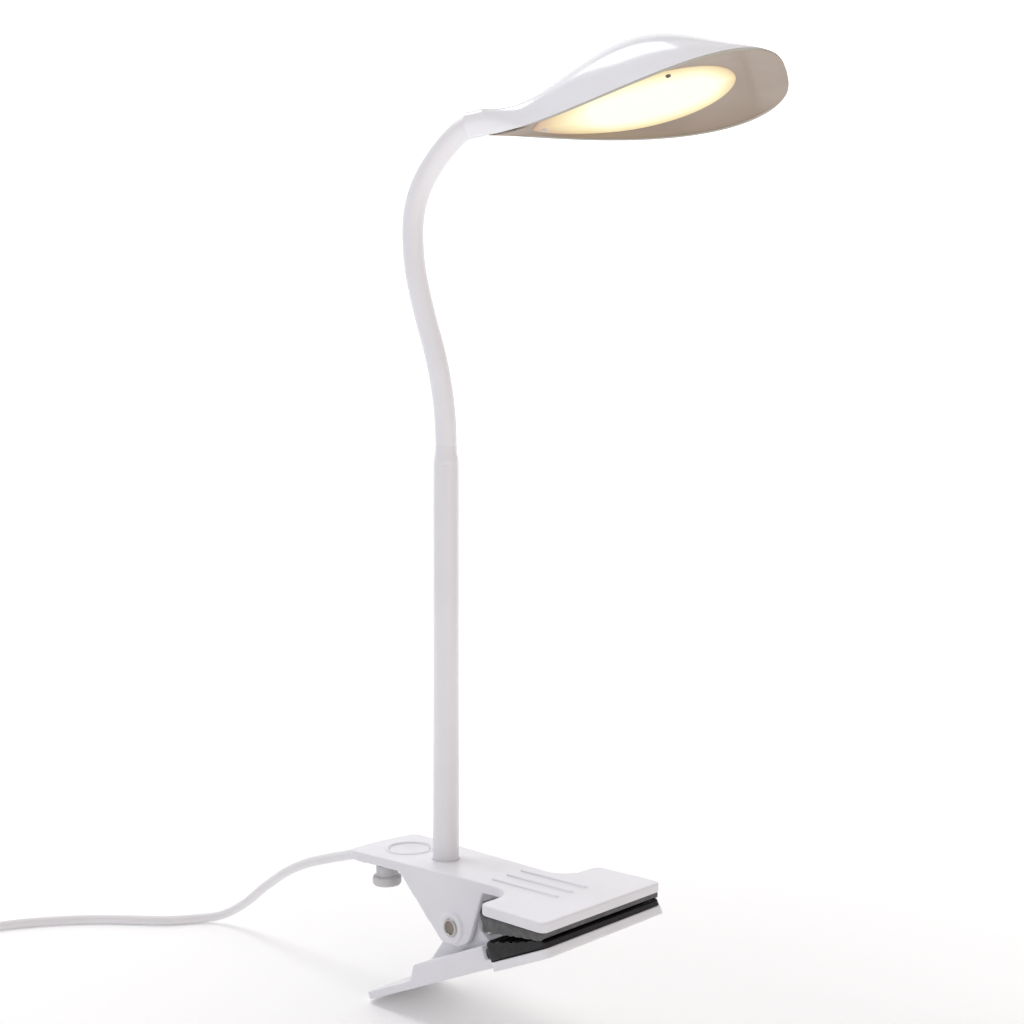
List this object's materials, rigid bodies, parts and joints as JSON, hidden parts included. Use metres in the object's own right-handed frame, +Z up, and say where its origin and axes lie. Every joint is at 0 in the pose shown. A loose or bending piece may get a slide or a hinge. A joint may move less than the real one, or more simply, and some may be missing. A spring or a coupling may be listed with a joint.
{
  "type": "clip-on reading lamp",
  "caption": "Clip-on reading lamp: spring clamp with padded jaws, upright tube, flexible neck and a leaf-shaped lighting head, with a press button and a cord.",
  "frame": {"origin": "middle of the clamp's grip, between the upper and lower pad, on the lamp's own middle plane", "axes": "+X along the clamp from its handles to its jaws, +Z up along the upright tube, +Y to the left of +X"},
  "size_m": [0.4351, 0.2258, 0.3573],
  "materials": {
    "white_plastic": "satin",
    "zinc_screw": "satin",
    "board": "satin",
    "spring_steel": "bright",
    "button_plastic": "satin",
    "bumper_plastic": "satin",
    "upper_rubber": "matt",
    "lever_plastic": "satin",
    "lower_rubber": "matt",
    "rivet_steel": "satin",
    "white_tube": "gloss",
    "nut_steel": "satin",
    "wire_pvc": "satin",
    "ferrule_plastic": "satin",
    "collar_plastic": "satin",
    "shell_plastic": "gloss",
    "liner_plastic": "satin",
    "diffuser_plastic": "frosted",
    "board_white": "satin",
    "led_phosphor": "satin",
    "aluminium_plate": "satin",
    "dark_screw": "satin",
    "cord_pvc": "satin",
    "tie_plastic": "matt",
    "plug_plastic": "satin",
    "plug_steel": "satin",
    "plug_insulator": "matt",
    "neck_sleeve": "satin",
    "neck_steel": "satin"
  },
  "bodies": {
    "clamp": {"upper_jaw": "white_plastic", "base_cover": "white_plastic", "cover_screws": "zinc_screw", "control_board": "board", "snap_dome": "spring_steel", "stop_bumpers": "bumper_plastic", "upper_pad": "upper_rubber", "pole_tube": "white_tube", "pole_nipple": "nut_steel", "pole_washer": "nut_steel", "pole_nut": "nut_steel", "pole_lead": "wire_pvc", "pole_ferrule": "ferrule_plastic", "hinge_rivet": "rivet_steel", "jaw_spring": "spring_steel", "cord_grommet": "cord_pvc", "cord_lead": "cord_pvc", "cord_coil": "cord_pvc", "cord_tie": "tie_plastic", "cord_tail": "cord_pvc", "plug_grip": "plug_plastic", "plug_shell": "plug_steel", "plug_tongue": "plug_insulator"},
    "lower_lever": {"lower_jaw": "lever_plastic", "lower_pad": "lower_rubber"},
    "button": {"switch_button": "button_plastic"},
    "neck_1": {"neck_sleeve_1": "neck_sleeve", "neck_core_1": "neck_steel"},
    "neck_2": {"neck_sleeve_2": "neck_sleeve", "neck_core_2": "neck_steel"},
    "neck_3": {"neck_sleeve_3": "neck_sleeve", "neck_core_3": "neck_steel"},
    "neck_4": {"neck_sleeve_4": "neck_sleeve", "neck_core_4": "neck_steel"},
    "neck_5": {"neck_sleeve_5": "neck_sleeve", "neck_core_5": "neck_steel"},
    "neck_6": {"neck_sleeve_6": "neck_sleeve", "neck_core_6": "neck_steel"},
    "head": {"head_collar": "collar_plastic", "head_shell": "shell_plastic", "head_liner": "liner_plastic", "diffuser": "diffuser_plastic", "led_board": "board_white", "leds": "led_phosphor", "heat_spreader": "aluminium_plate", "head_lead": "wire_pvc", "head_screws": "dark_screw"}
  },
  "joints": [
    {"name": "clamp_hinge", "type": "hinge", "parent": "clamp", "child": "lower_lever", "pos_m": [-0.046, 0, -0.0105], "axis": [0, 1, 0], "range_deg": [0, 46], "stiffness_Nm_per_rad": 0.5, "springref_deg": -57.3, "deforming": ["jaw_spring"]},
    {"name": "button_press", "type": "slide", "parent": "clamp", "child": "button", "axis": [0, 0, -1], "range_m": [0, 0.0006], "stiffness_N_per_m": 1500, "springref_m": -0.0006},
    {"name": "neck_bend_1", "type": "hinge", "parent": "clamp", "child": "neck_1", "pos_m": [-0.065, 0, 0.166], "axis": [-0.3907, 0.9205, 0], "range_deg": [-20, 20]},
    {"name": "neck_side_1", "type": "hinge", "parent": "neck_1", "child": "neck_2", "pos_m": [-0.06658, -0.00067, 0.18781], "axis": [0.9092, 0.3859, 0.1564], "range_deg": [-20, 20]},
    {"name": "neck_bend_2", "type": "hinge", "parent": "neck_2", "child": "neck_3", "pos_m": [-0.07111, -0.00259, 0.20913], "axis": [-0.3907, 0.9205, 0], "range_deg": [-20, 20]},
    {"name": "neck_side_2", "type": "hinge", "parent": "neck_3", "child": "neck_4", "pos_m": [-0.07616, -0.00474, 0.23033], "axis": [0.9004, 0.3822, 0.2079], "range_deg": [-20, 20]},
    {"name": "neck_bend_3", "type": "hinge", "parent": "neck_4", "child": "neck_5", "pos_m": [-0.07791, -0.00548, 0.25209], "axis": [-0.3907, 0.9205, 0], "range_deg": [-20, 20]},
    {"name": "neck_side_3", "type": "hinge", "parent": "neck_5", "child": "neck_6", "pos_m": [-0.0716, -0.0028, 0.27257], "axis": [0.754, 0.3201, -0.5736], "range_deg": [-20, 20]},
    {"name": "head_nod", "type": "hinge", "parent": "neck_6", "child": "head", "pos_m": [-0.05719, 0.00332, 0.28769], "axis": [-0.3907, 0.9205, 0], "range_deg": [-20, 14]}
  ]
}
